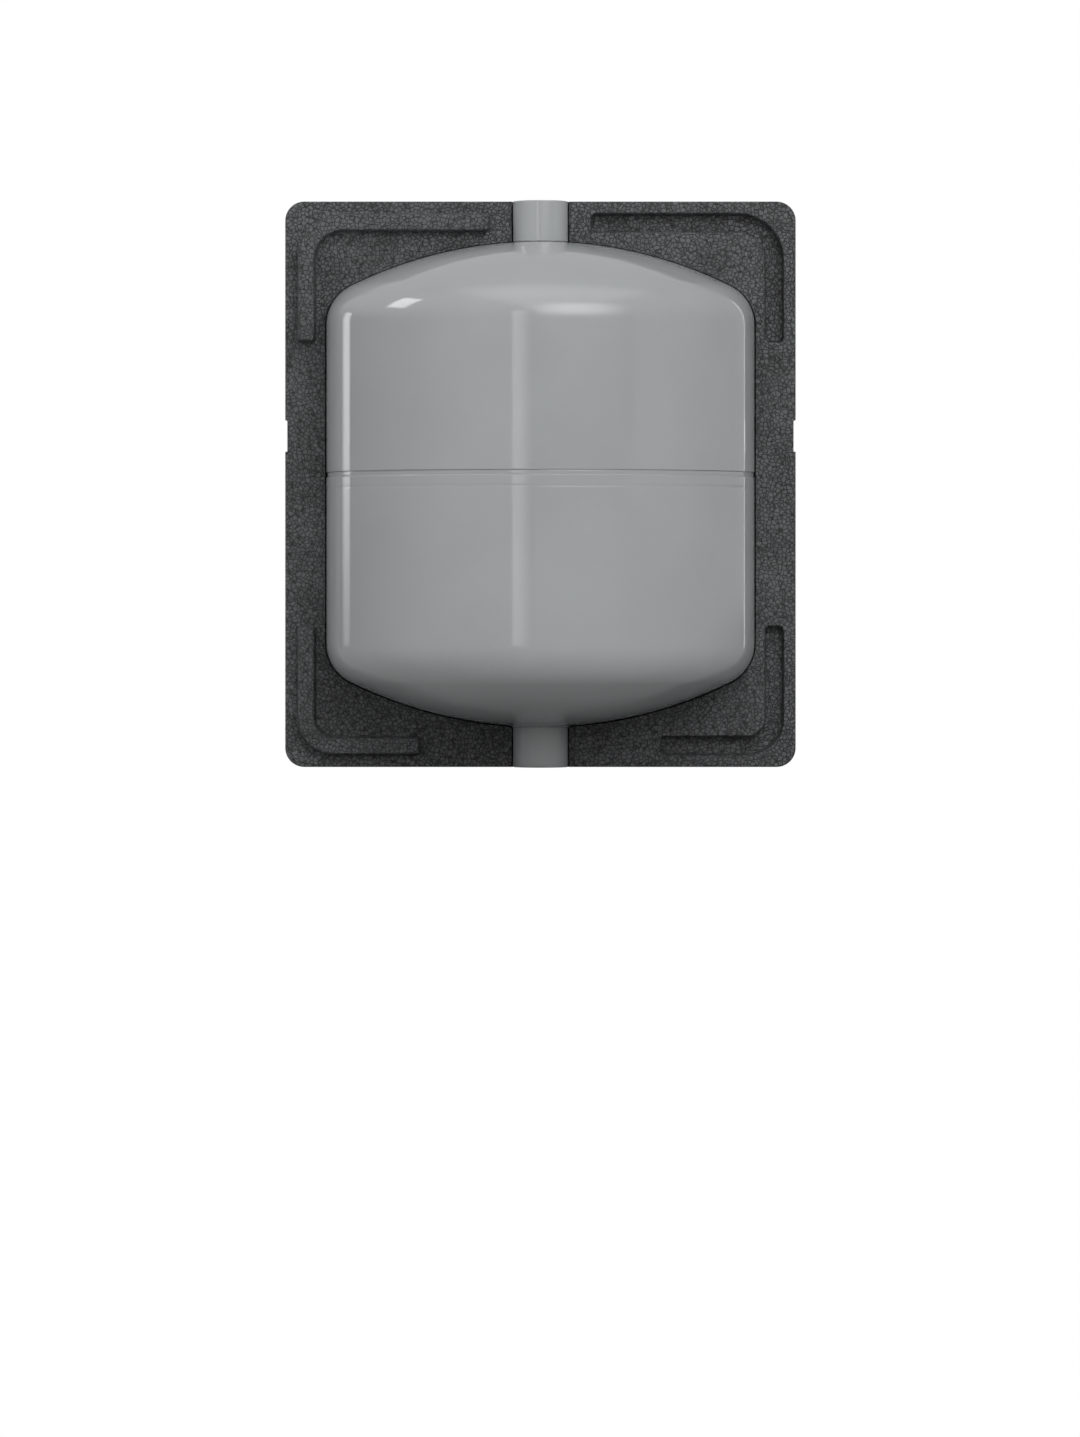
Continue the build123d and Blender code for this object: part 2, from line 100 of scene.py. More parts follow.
def arc(centre, radius, start, end, steps):
    """Points centre + radius (cos a, sin a), for a from start to end in degrees."""
    a = np.radians(np.linspace(start, end, steps))
    return np.stack([centre[0] + radius * np.cos(a), centre[1] + radius * np.sin(a)], 1)


def run(start, end, steps):
    """Evenly spaced points on the straight line from start to end."""
    return np.linspace(start, end, steps)


def head(offset, hole, side):
    """Outline of a head from its hole outwards: the crown arc, then the tighter knuckle arc.

    offset moves it out of the outer face, and side is 1 for the upper head, -1 for the lower.
    """
    crown_steps, knuckle_steps = 44, 20
    first = 90 - degrees(asin(hole / (crown + offset)))
    crown_arc = arc((0, middle + side * (half_body - crown)), crown + offset,
                    side * first, side * join_angle, crown_steps)
    knuckle_arc = arc((shell_radius - knuckle, middle + side * (half_body - head_height)),
                      knuckle + offset, side * join_angle, 0, knuckle_steps)
    return np.concatenate([crown_arc, knuckle_arc[1:]])


def sink(radius):
    """How far a head's outer face lies behind its apex at a distance from the axis."""
    return crown - sqrt(crown**2 - radius**2)


def softened(corners, radii, steps=5):
    """Closed outline through the corners, each rounded by an arc of its own radius.

    The arc at a corner with unit directions a and b to its neighbours starts and ends
    r / tan(half the angle between them) away, and its middle is on their bisector.
    Straight runs keep a point close to both ends, so that they shade flat.
    """
    nearly_straight = radians(88)
    guard_share, longest_guard = 0.3, 0.1
    corners = np.array(corners, float)
    count = len(corners)
    radii = np.broadcast_to(radii, count)
    pieces = []
    for i in range(count):
        here, before, after = corners[i], corners[i - 1], corners[(i + 1) % count]
        a = (before - here) / np.linalg.norm(before - here)
        b = (after - here) / np.linalg.norm(after - here)
        half = acos(np.clip(a @ b, -1, 1)) / 2
        if radii[i] <= 0 or half > nearly_straight:
            pieces.append(here[None, :])
            continue
        away = radii[i] / np.tan(half)
        bisector = (a + b) / np.linalg.norm(a + b)
        centre = here + bisector * radii[i] / sin(half)
        first, last = here + a * away, here + b * away
        share = np.linspace(0, 1, steps)[:, None]
        swept = (first - centre) * (1 - share) + (last - centre) * share
        swept *= radii[i] / np.linalg.norm(swept, axis=1)[:, None]
        guard = min(guard_share * radii[i], longest_guard)
        pieces += [(first + a * guard)[None, :], centre + swept, (last + b * guard)[None, :]]
    return np.concatenate(pieces)


def turned(outline, segments):
    """The outline carried round the Z axis: (r cos t, r sin t, z) for t over a full turn."""
    t = np.arange(segments) * (2 * pi / segments)
    radius, height = outline[:, 0], outline[:, 1]
    return np.stack([
        np.outer(np.cos(t), radius), np.outer(np.sin(t), radius),
        np.broadcast_to(height, (segments, len(height))),
    ], 2)


def turned_by(radius, height):
    """Like turned, with radius and height given at each angle as whole arrays."""
    t = (np.arange(len(radius)) * (2 * pi / len(radius)))[:, None]
    return np.stack([radius * np.cos(t), radius * np.sin(t), height], 2)


def new_piece(name, points, faces, body, slot, stands_for, merge, crease=None, turn_out=False):
    """A smooth mesh on a body, in place of the CAD nodes that it stands for.

    Points closer than merge metres become one.  With a crease, edges sharper than that many
    degrees stay sharp, and turn_out works out which way the faces have to point.
    """
    mesh = bpy.data.meshes.new(name)
    mesh.from_pydata(points, [], faces)
    work = bmesh.new()
    work.from_mesh(mesh)
    bmesh.ops.remove_doubles(work, verts=work.verts, dist=merge)
    if turn_out:
        bmesh.ops.recalc_face_normals(work, faces=work.faces)
    work.to_mesh(mesh)
    work.free()
    mesh.shade_smooth()
    if crease:
        mesh.set_sharp_from_angle(angle=radians(crease))
    mesh.materials.append(finishes[slot])
    piece = bpy.data.objects.new(name, mesh)
    bpy.context.scene.collection.objects.link(piece)
    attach(piece, body)
    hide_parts(*stands_for)
    return piece


def skin(name, grid, body, slot, stands_for, crease=35):
    """Closes a grid of points both ways into a mesh whose faces point outwards.

    Each quad joins (i, j), (i+1, j), (i+1, j+1), (i, j+1), with both counts wrapping round.
    The sign of the enclosed volume says whether the order has to be turned round.
    """
    around, along = grid.shape[:2]
    points = grid.reshape(-1, 3) * MM
    index = np.arange(around * along).reshape(around, along)
    next_i, next_j = np.roll(index, -1, 0), np.roll(index, -1, 1)
    quads = np.stack([index, next_i, np.roll(next_i, -1, 1), next_j], 2).reshape(-1, 4)
    a, b, c, d = (points[quads[:, k]] for k in range(4))
    volume = np.einsum("ij,ij->", a, np.cross(b, c)) + np.einsum("ij,ij->", a, np.cross(c, d))
    if volume < 0:
        quads = quads[:, ::-1]
    return new_piece(name, points, quads.tolist(), body, slot, stands_for, 2e-7, crease)


def tube_skin(name, rings, body, slot, stands_for):
    """Rings of points joined one after another into a tube with closed ends."""
    count, around = rings.shape[:2]
    points = rings.reshape(-1, 3) * MM
    index = np.arange(count * around).reshape(count, around)
    turn = np.roll(index, -1, 1)
    quads = np.stack([index[:-1], turn[:-1], turn[1:], index[1:]], 2).reshape(-1, 4)
    ends = [index[0].tolist()[::-1], index[-1].tolist()]
    return new_piece(name, points, quads.tolist() + ends, body, slot, stands_for, 1e-9,
                     turn_out=True)


# ---------------------------------------------------------------- node tools

def add(tree, kind, place=(0, 0), **settings):
    """A node of a kind.  Settings named after an input fill it, the others are properties."""
    node = tree.nodes.new(kind)
    node.location = place
    for name, value in settings.items():
        if hasattr(node, name):
            setattr(node, name, value)
        else:
            node.inputs[name.replace("_", " ")].default_value = value
    return node


def join(tree, *ends):
    """Links given as pairs of an output and an input."""
    for out, into in ends:
        tree.links.new(out, into)


def new_group(name, inputs, outputs):
    """An empty shader group: its inputs as (name, kind, value), its outputs as (name, kind).

    Returns the group, its input node and its output node.
    """
    group = bpy.data.node_groups.new(name, "ShaderNodeTree")
    for socket_name, kind, value in inputs:
        socket = group.interface.new_socket(socket_name, in_out="INPUT", socket_type=kind)
        if value is not None:
            socket.default_value = value
    for socket_name, kind in outputs:
        group.interface.new_socket(socket_name, in_out="OUTPUT", socket_type=kind)
    return group, add(group, "NodeGroupInput", (-1200, 0)), add(group, "NodeGroupOutput", (900, 0))


NUMBER, COLOUR, VECTOR = "NodeSocketFloat", "NodeSocketColor", "NodeSocketVector"


def fill(tree, sockets, ends):
    """Gives each socket its end: a link from another socket, or a value."""
    for socket, end in zip(sockets, ends):
        if isinstance(end, bpy.types.NodeSocket):
            tree.links.new(end, socket)
        else:
            socket.default_value = end


def mixed(tree, factor, first, second, place=(0, 0)):
    """A colour mix node, each of its three ends a socket or a value.  Returns its output."""
    node = add(tree, "ShaderNodeMix", place, data_type="RGBA")
    fill(tree, (node.inputs[0], node.inputs[6], node.inputs[7]), (factor, first, second))
    return node.outputs[2]


def figured(tree, operation, *ends, place=(0, 0)):
    """A math node on sockets or numbers.  Returns its output."""
    node = add(tree, "ShaderNodeMath", place, operation=operation)
    fill(tree, node.inputs, ends)
    return node.outputs[0]


def spread(tree, value, low, high, to_low=0.0, to_high=1.0, place=(0, 0), smooth=True):
    """Maps a value from one span to another, held at both ends and eased unless told not to."""
    node = add(tree, "ShaderNodeMapRange", place)
    node.interpolation_type = "SMOOTHSTEP" if smooth else "LINEAR"
    for name, number in zip(("From Min", "From Max", "To Min", "To Max"),
                            (low, high, to_low, to_high)):
        node.inputs[name].default_value = number
    tree.links.new(value, node.inputs["Value"])
    return node.outputs["Result"]


def cloud(tree, vector, scale, detail=2.0, roughness=0.5, place=(0, 0)):
    """Noise at a number of lumps per metre.  Returns its value."""
    node = add(tree, "ShaderNodeTexNoise", place, Scale=scale, Detail=detail, Roughness=roughness)
    tree.links.new(vector, node.inputs["Vector"])
    return node.outputs["Fac"]


# ---------------------------------------------------------------- shared surface effects

def make_enamel_film():
    """Baked enamel: fine orange peel, a slight drift of tone and faint rubs in the gloss."""
    group, given, made = new_group(
        "enamel_film",
        [("Vector", VECTOR, None), ("Pale", COLOUR, (0.4, 0.4, 0.4, 1)),
         ("Deep", COLOUR, (0.36, 0.36, 0.36, 1)), ("Gloss Low", NUMBER, 0.10),
         ("Gloss High", NUMBER, 0.16)],
        [("Color", COLOUR), ("Roughness", NUMBER), ("Height", NUMBER)],
    )
    vector = given.outputs["Vector"]
    drift = cloud(group, vector, 14, 3.0, 0.55, (-900, 300))
    speck = cloud(group, vector, 1500, 1.0, 0.5, (-900, 60))
    tone = figured(group, "ADD", figured(group, "MULTIPLY", drift, 0.75),
                   figured(group, "MULTIPLY", speck, 0.25))
    colour = mixed(group, spread(group, tone, 0.35, 0.65), given.outputs["Deep"],
                   given.outputs["Pale"], (-300, 300))
    rubs = spread(group, cloud(group, vector, 55, 5.0, 0.62, (-900, -160)), 0.35, 0.7)
    gloss = figured(group, "ADD", given.outputs["Gloss Low"], figured(
        group, "MULTIPLY", rubs,
        figured(group, "SUBTRACT", given.outputs["Gloss High"], given.outputs["Gloss Low"])))
    peel = cloud(group, vector, 620, 1.5, 0.45, (-900, -420))
    join(group, (colour, made.inputs["Color"]), (gloss, made.inputs["Roughness"]),
         (peel, made.inputs["Height"]))
    return group


def make_bead_skin():
    """Moulded bead foam: pressed beads with sunken joints, each bead with a tone of its own."""
    group, given, made = new_group(
        "bead_skin",
        [("Vector", VECTOR, None), ("Beads per Metre", NUMBER, 420.0),
         ("Dark", COLOUR, (0.02, 0.02, 0.02, 1)), ("Light", COLOUR, (0.08, 0.08, 0.08, 1))],
        [("Color", COLOUR), ("Roughness", NUMBER), ("Height", NUMBER)],
    )
    vector = given.outputs["Vector"]
    wobble = add(group, "ShaderNodeTexNoise", (-1000, -500), Scale=260, Detail=1.0)
    group.links.new(vector, wobble.inputs["Vector"])
    shift = add(group, "ShaderNodeVectorMath", (-800, -500), operation="SCALE")
    shift.inputs["Scale"].default_value = 0.0012
    moved = add(group, "ShaderNodeVectorMath", (-640, -400), operation="ADD")
    join(group, (wobble.outputs["Color"], shift.inputs[0]), (vector, moved.inputs[0]),
         (shift.outputs[0], moved.inputs[1]))
    joints = add(group, "ShaderNodeTexVoronoi", (-440, 100), feature="DISTANCE_TO_EDGE")
    beads = add(group, "ShaderNodeTexVoronoi", (-440, -200), feature="F1")
    for cells in (joints, beads):
        join(group, (moved.outputs[0], cells.inputs["Vector"]),
             (given.outputs["Beads per Metre"], cells.inputs["Scale"]))
    tone = add(group, "ShaderNodeSeparateColor", (-240, -260))
    group.links.new(beads.outputs["Color"], tone.inputs[0])
    body = spread(group, joints.outputs["Distance"], -0.03, 0.17, place=(-200, 100))
    # fine grit: a random tone of the beads and a roughening of their bump, its colour range
    # widened so that its pale specks are also painted glints
    grit_and_painted_glint = cloud(group, vector, 2600, 2.0, 0.6, (-440, -480))
    patch = cloud(group, vector, 30, 3.0, 0.55, (-440, -640))
    lit = figured(group, "MULTIPLY", body, spread(group, tone.outputs[0], 0.0, 1.0, 0.72, 1.0))
    # painted glints: the grit's pale specks lighten the bead colour
    lit = figured(group, "MULTIPLY", lit, spread(group, grit_and_painted_glint, 0.3, 0.7, 0.68, 1.36))
    lit = figured(group, "MULTIPLY", lit, spread(group, patch, 0.3, 0.7, 0.72, 1.15))
    colour = mixed(group, lit, given.outputs["Dark"], given.outputs["Light"], (200, 200))
    gloss = spread(group, tone.outputs[1], 0.0, 1.0, 0.34, 0.62)
    dome = figured(group, "ADD", body, figured(group, "MULTIPLY", grit_and_painted_glint, 0.25))
    join(group, (colour, made.inputs["Color"]), (gloss, made.inputs["Roughness"]),
         (dome, made.inputs["Height"]))
    return group


def make_metal_grain():
    """Worked metal: fine drawn lines along Z and a patchy oxide film."""
    group, given, made = new_group(
        "metal_grain",
        [("Vector", VECTOR, None), ("Bright", COLOUR, (0.8, 0.8, 0.8, 1)),
         ("Dull", COLOUR, (0.5, 0.5, 0.5, 1)), ("Smooth", NUMBER, 0.2), ("Rough", NUMBER, 0.4),
         ("Stretch", VECTOR, (1, 1, 0.1))],
        [("Color", COLOUR), ("Roughness", NUMBER), ("Height", NUMBER)],
    )
    vector = given.outputs["Vector"]
    drawn = add(group, "ShaderNodeVectorMath", (-900, 200), operation="MULTIPLY")
    join(group, (vector, drawn.inputs[0]), (given.outputs["Stretch"], drawn.inputs[1]))
    lines = cloud(group, drawn.outputs[0], 6000, 3.0, 0.6, (-700, 200))
    oxide = spread(group, cloud(group, vector, 240, 4.0, 0.6, (-700, -100)), 0.35, 0.68)
    colour = mixed(group, oxide, given.outputs["Bright"], given.outputs["Dull"], (0, 200))
    share = figured(group, "ADD", figured(group, "MULTIPLY", oxide, 0.6),
                    figured(group, "MULTIPLY", lines, 0.4))
    gloss = figured(group, "ADD", given.outputs["Smooth"], figured(
        group, "MULTIPLY", share,
        figured(group, "SUBTRACT", given.outputs["Rough"], given.outputs["Smooth"])))
    join(group, (colour, made.inputs["Color"]), (gloss, made.inputs["Roughness"]),
         (lines, made.inputs["Height"]))
    return group


def make_moulded_grain():
    """Moulded plastic or rubber: an eroded grain, flow shades and a few pale scuffs."""
    group, given, made = new_group(
        "moulded_grain",
        [("Vector", VECTOR, None), ("Grain per Metre", NUMBER, 3000.0),
         ("Body", COLOUR, (0.03, 0.03, 0.03, 1)), ("Scuff", COLOUR, (0.08, 0.08, 0.08, 1)),
         ("Smooth", NUMBER, 0.35), ("Rough", NUMBER, 0.6)],
        [("Color", COLOUR), ("Roughness", NUMBER), ("Height", NUMBER)],
    )
    vector = given.outputs["Vector"]
    grain = add(group, "ShaderNodeTexNoise", (-800, 200), Detail=2.0, Roughness=0.6)
    join(group, (vector, grain.inputs["Vector"]),
         (given.outputs["Grain per Metre"], grain.inputs["Scale"]))
    flow = cloud(group, vector, 90, 3.0, 0.5, (-800, -100))
    scuffs = spread(group, cloud(group, vector, 420, 6.0, 0.7, (-800, -340)), 0.6, 0.78)
    mask = figured(group, "ADD", figured(group, "MULTIPLY", scuffs, 0.7),
                   figured(group, "MULTIPLY", flow, 0.3))
    colour = mixed(group, mask, given.outputs["Body"], given.outputs["Scuff"], (0, 200))
    gloss = figured(group, "ADD", given.outputs["Smooth"], figured(
        group, "MULTIPLY", grain.outputs["Fac"],
        figured(group, "SUBTRACT", given.outputs["Rough"], given.outputs["Smooth"])))
    join(group, (colour, made.inputs["Color"]), (gloss, made.inputs["Roughness"]),
         (grain.outputs["Fac"], made.inputs["Height"]))
    return group


effects = {
    "enamel_film": make_enamel_film(),
    "bead_skin": make_bead_skin(),
    "metal_grain": make_metal_grain(),
    "moulded_grain": make_moulded_grain(),
}


# ---------------------------------------------------------------- finishes

def finish_of(name, effect, values, relief, lift, **shader_values):
    """A finish: one shared effect on Object coordinates feeds the shader's colour, roughness
    and a bump of the given strength and depth.  shader_values are set on the shader itself."""
    material = bpy.data.materials.new(name)
    material.use_nodes = True
    tree = material.node_tree
    tree.nodes.clear()
    place = add(tree, "ShaderNodeTexCoord", (-900, 0))
    group = add(tree, "ShaderNodeGroup", (-600, 0), node_tree=effects[effect])
    for socket, value in values.items():
        group.inputs[socket].default_value = value
    bump = add(tree, "ShaderNodeBump", (-300, -200), Strength=relief, Distance=lift)
    shader = add(tree, "ShaderNodeBsdfPrincipled", (0, 0))
    for socket, value in shader_values.items():
        shader.inputs[socket.replace("_", " ")].default_value = value
    out = add(tree, "ShaderNodeOutputMaterial", (300, 0))
    join(tree, (place.outputs["Object"], group.inputs["Vector"]),
         (group.outputs["Color"], shader.inputs["Base Color"]),
         (group.outputs["Roughness"], shader.inputs["Roughness"]),
         (group.outputs["Height"], bump.inputs["Height"]),
         (bump.outputs["Normal"], shader.inputs["Normal"]),
         (shader.outputs["BSDF"], out.inputs["Surface"]))
    return material


def grey(value, warm=0.0):
    """A grey, a little warmer or cooler."""
    return (value * (1 + warm), value, value * (1 - warm), 1)


finishes = {
    "vessel_paint": finish_of(
        "grey_enamel", "enamel_film",
        {"Pale": (0.412, 0.427, 0.432, 1), "Deep": (0.392, 0.405, 0.410, 1),
         "Gloss Low": 0.05, "Gloss High": 0.085}, 0.02, 0.0002, IOR=1.5),
    "bead_foam": finish_of(
        "black_bead_foam", "bead_skin",
        {"Beads per Metre": 390.0, "Dark": grey(0.013), "Light": grey(0.134, -0.03)},
        0.9, 0.0004, IOR=1.45, Specular_IOR_Level=0.45),
    "bare_steel": finish_of(
        "rolled_steel", "metal_grain",
        {"Bright": grey(0.56), "Dull": grey(0.36, 0.03), "Smooth": 0.24, "Rough": 0.42},
        0.15, 0.00005, Metallic=1.0),
    "spring_steel": finish_of(
        "spring_wire", "metal_grain",
        {"Bright": grey(0.62), "Dull": grey(0.45, 0.02), "Smooth": 0.16, "Rough": 0.3},
        0.1, 0.00002, Metallic=1.0),
    "brass": finish_of(
        "turned_brass", "metal_grain",
        {"Bright": (0.82, 0.60, 0.29, 1), "Dull": (0.60, 0.40, 0.17, 1), "Smooth": 0.18,
         "Rough": 0.34, "Stretch": (0.1, 0.1, 1.0)}, 0.12, 0.00004, Metallic=1.0),
    "black_plastic": finish_of(
        "moulded_plastic", "moulded_grain",
        {"Grain per Metre": 4200.0, "Body": grey(0.022), "Scuff": grey(0.06), "Smooth": 0.34,
         "Rough": 0.52}, 0.2, 0.00006, IOR=1.49),
    "seal_rubber": finish_of(
        "seal_rubber", "moulded_grain",
        {"Grain per Metre": 2600.0, "Body": grey(0.016), "Scuff": grey(0.045), "Smooth": 0.5,
         "Rough": 0.75}, 0.25, 0.00006, IOR=1.5),
    "diaphragm_rubber": finish_of(
        "diaphragm_rubber", "moulded_grain",
        {"Grain per Metre": 1500.0, "Body": grey(0.018), "Scuff": grey(0.06), "Smooth": 0.5,
         "Rough": 0.8}, 0.25, 0.0001, IOR=1.52),
}

# a CAD node's material is named after its slot
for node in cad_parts.values():
    for index, old in enumerate(node.data.materials):
        node.data.materials[index] = finishes[old.name.split(".")[0]]


# ---------------------------------------------------------------- shells

lead = 1  # of straight wall kept beside a rounded edge
around_shell = 288
wall_steps, lower_wall_steps = 14, 12
cut_edge, inner_edge = 0.3, 0.2  # radii of the upper shell's open edge


def upper_shell_outline():
    """Outer face from the valve boss down to the open edge, then the inner face back up."""
    inner = shell_radius - wall
    return np.concatenate([
        head(0, boss_radius + hole_gap, 1),
        run((shell_radius, wall_top - lead), (shell_radius, upper_edge + lead), wall_steps),
        softened([(shell_radius, upper_edge + lead), (shell_radius, upper_edge),
                  (inner, upper_edge), (inner, upper_edge + lead)], (0, cut_edge, inner_edge, 0)),
        run((inner, upper_edge + 2 * lead), (inner, wall_top - lead), wall_steps),
        head(-wall, boss_radius + hole_gap, 1)[::-1],
    ])


skin("upper_shell_skin", turned(upper_shell_outline(), around_shell), "vessel", "vessel_paint",
     ["upper_shell"])

# the rolled line that locates the clamp ring, just under the seam
swage_z, swage_depth, swage_half, swage_steps = 182.4, 0.09, 1.4, 11
swage_margin = 0.5
# the slope by which the lower shell draws in under the seam: its rise above the shoulder
# outside, and its two ends inside
slope_rise, inner_rise, inner_drop = 1.4, 0.65, 0.75
slope_clear = 3  # of straight wall kept below it


def lower_shell_outline():
    """Outer face from the stub up over the rolled line to the drawn-in rim, then back inside.

    The rolled line is cut swage_depth (1 + cos u) / 2 deep, for u from -pi to pi.
    """
    inner, rim = shell_radius - wall, drawn_in - wall
    swage = run((shell_radius, swage_z - swage_half), (shell_radius, swage_z + swage_half),
                swage_steps)
    swage[:, 0] -= swage_depth * (0.5 + 0.5 * np.cos(np.linspace(-pi, pi, swage_steps)))
    return np.concatenate([
        head(0, stub_radius + hole_gap, -1),
        run((shell_radius, wall_foot + lead),
            (shell_radius, swage_z - swage_half - swage_margin), lower_wall_steps),
        swage,
        softened([(shell_radius, shoulder - slope_clear), (shell_radius, shoulder),
                  (drawn_in, shoulder + slope_rise), (drawn_in, rim_top), (rim, rim_top),
                  (rim, shoulder + inner_rise), (inner, shoulder - inner_drop),
                  (inner, shoulder - slope_clear)], (0, 0.3, 0.6, 0.25, 0.25, 0.8, 0.8, 0)),
        run((inner, shoulder - slope_clear - 2 * lead), (inner, wall_foot + lead),
            lower_wall_steps),
        head(-wall, stub_radius + hole_gap, -1)[::-1],
    ])


skin("lower_shell_skin", turned(lower_shell_outline(), around_shell), "vessel", "vessel_paint",
     ["lower_shell"])


def seam_band():
    """The seam weld under its paint: a flat ring with sunken edges.

    For s from 0 to pi across it and t round it, its face lies at
    weld_face - toe (1 - sin s)^2 + ripple sin s cos(ripples t).
    """
    toe, ripple, ripples = 0.16, 0.008, 180
    foot_gap, top_gap, tuck, back_rise = 0.35, 0.02, 0.02, 0.9  # to the two shells around it
    across, round_it = 13, 720
    s = np.linspace(0, pi, across)
    t = np.arange(round_it)[:, None] * (2 * pi / round_it)
    face_r = weld_face - toe * (1 - np.sin(s)) ** 2 + ripple * np.sin(s) * np.cos(ripples * t)
    face_z = np.linspace(shoulder + foot_gap, upper_edge - top_gap, across) + 0 * t
    back_r = np.full((round_it, 2), drawn_in - tuck)
    back_z = np.broadcast_to([upper_edge - top_gap, shoulder + back_rise], (round_it, 2))
    return turned_by(np.concatenate([face_r, back_r], 1), np.concatenate([face_z, back_z], 1))


skin("seam_weld", seam_band(), "vessel", "vessel_paint", ["shell_seam_weld"])


def weld_bead(tube, foot, leg, side, ripples):
    """A bead round a tube: the face bulges from its toe on the head to its top on the tube.

    With s from 0 to 1 across the face, it stands out by h sin(pi s) both ways, and h swells
    and thins by a scalloped ripple |sin(n t / 2)|, as the weld went round.
    """
    bulge, steady, scallop = 0.10, 0.7, 0.3  # a share of the leg, and the bulge's own shares
    tuck, root = 0.02, 0.05  # how far its back lies inside the tube and below its foot
    steps, across = ripples * 8, 9
    t = np.arange(steps)[:, None] * (2 * pi / steps)
    s = np.linspace(0, 1, across)[None, :]
    drop = sink(tube + leg) - sink(tube)
    swell = bulge * leg * (steady + scallop * np.abs(np.sin(ripples * t / 2))) * np.sin(pi * s)
    radius = tube + leg * (1 - s) + swell
    height = foot + side * (leg * s - drop * (1 - s) + swell)
    inner_r = np.full((steps, 1), tube - tuck)
    inner_z = np.full((steps, 1), foot - side * root)
    return turned_by(np.concatenate([radius, inner_r], 1), np.concatenate([height, inner_z], 1))


# the fine line where the upper stub meets the head: its depth and height
joint_recess, joint_height = 1.0, 0.6
collar_leg, outer_leg = 0.25, 1.2
stub_ripples, boss_ripples = 90, 40

skin("collar_weld_bead",
     weld_bead(stub_radius - joint_recess, top_apex - sink(stub_radius), collar_leg, 1,
               stub_ripples),
     "vessel", "vessel_paint", ["collar_weld"])
skin("connection_weld_bead",
     weld_bead(stub_radius, bottom_apex + sink(stub_radius), outer_leg, -1, stub_ripples),
     "vessel", "vessel_paint", ["connection_weld"])
skin("valve_boss_weld_bead",
     weld_bead(boss_radius, top_apex - sink(boss_radius), outer_leg, 1, boss_ripples),
     "vessel", "vessel_paint", ["valve_boss_weld"])

# ---------------------------------------------------------------- stubs


def collar_outline():
    """The plain tube round the gas valve, narrower at its foot by the recess of the joint."""
    bore, foot = stub_radius - stub_wall, stub_radius - joint_recess
    joint_top = top_apex - sink(stub_radius) + joint_height
    return softened([(foot, collar_foot), (foot, joint_top), (stub_radius, joint_top),
                     (stub_radius, collar_top), (bore, collar_top), (bore, collar_foot)],
                    (0, 0.05, 0.12, 0.6, 0.4, 0))


around_collar, around_diaphragm = 160, 192
skin("valve_collar_tube", turned(collar_outline(), around_collar), "vessel", "vessel_paint",
     ["valve_collar"])


def threaded_socket():
    """The water connection: a closed outline turned round, with its thread cut into the bore.

    The bore's radius is minor + depth (1 - cos 2 pi f) / 2, where f is the share of a pitch
    reached at that height and angle, z / pitch - t / 2 pi.  It fades out at both ends.
    """
    minor, depth, pitch, length = 12.06, 1.16, 1.814, 18.0
    seat, lip = 14.05, 10.5  # radii of the guard plate's seat and of the lip under it
    lead_in, mouth_flat, mouth_edge = 13.5, 17.4, 0.6  # mouth's cone, flat rim, outer edge
    side_foot, first_cut, last_cut = 3, 1.3, length - 0.6
    cuts, round_it = 96, 200
    bore_z = np.linspace(last_cut, first_cut, cuts)
    before = softened([(stub_radius, side_foot), (stub_radius, socket_top), (seat, socket_top),
                       (seat, guard_seat), (lip, guard_seat), (lip, length),
                       (minor, length), (minor, last_cut)],
                      (0, 0.3, 0.2, 0.1, 0.3, 0.3, 0.1, 0))
    after = np.concatenate([run((minor + 0.1, 0.9), (lead_in, 0.02), 5),
                            arc((mouth_flat, mouth_edge), mouth_edge, -90, 0, 6)])
    outline = np.concatenate([before, np.stack([np.full(cuts, minor), bore_z], 1), after])
    t = np.arange(round_it)[:, None] * (2 * pi / round_it)
    height = np.broadcast_to(outline[:, 1], (round_it, len(outline)))
    radius = np.broadcast_to(outline[:, 0], height.shape).copy()
    cut = slice(len(before), len(before) + cuts)
    fade = np.clip((length - 1.2 - bore_z) / 1.5, 0, 1) * np.clip((bore_z - 0.9) / 1.2, 0.35, 1)
    radius[:, cut] += depth / 2 * (1 - np.cos(2 * pi * (bore_z / pitch) - t)) * fade
    return turned_by(radius, height)


skin("connection_socket_threaded", threaded_socket(), "vessel", "vessel_paint",
     ["connection_socket"])

# ---------------------------------------------------------------- diaphragm


def diaphragm_outline():
    """The diaphragm at rest: the lower head's outline moved in, closed by its thick rim bead.

    Low rings stand out of the inside of the crown by rib (1 + cos(2 pi r / spacing)) / 2.
    """
    outer_gap, inner_gap = 2.7, 4.7  # from the shell's outer face to the rubber's two faces
    rib, spacing, ribbed_radius = 0.35, 12, 100
    bead_width, bead_foot, neck_top, neck_foot = 3.9, 178.6, 177.5, 175.5
    side_foot, side_top, side_steps = 90, 170, 10
    nearly_shut = 0.001
    face, back = shell_radius - outer_gap, shell_radius - inner_gap
    outer = head(-outer_gap, nearly_shut, -1)
    inner = head(-inner_gap, nearly_shut, -1)
    rings = 0.5 + 0.5 * np.cos(2 * pi * inner[:, 0] / spacing)
    inner[:, 1] += rib * np.where(inner[:, 0] < ribbed_radius, rings, 0)
    bead = softened([(face, neck_foot), (face, neck_top), (bead_outer, bead_foot),
                     (bead_outer, bead_top), (bead_outer - bead_width, bead_top),
                     (bead_outer - bead_width, bead_foot), (back, neck_top), (back, neck_foot)],
                    (0, 0.6, 1.2, 1.2, 1.2, 0.8, 0.6, 0))
    return np.concatenate([
        outer, run((face, side_foot), (face, side_top), side_steps), bead,
        run((back, side_top), (back, side_foot), side_steps), inner[::-1]])


membrane_skin = skin("diaphragm_rubber_skin", turned(diaphragm_outline(), around_diaphragm),
                     "vessel", "diaphragm_rubber", ["diaphragm"])
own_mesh(membrane_skin)

# ---------------------------------------------------------------- gas valve

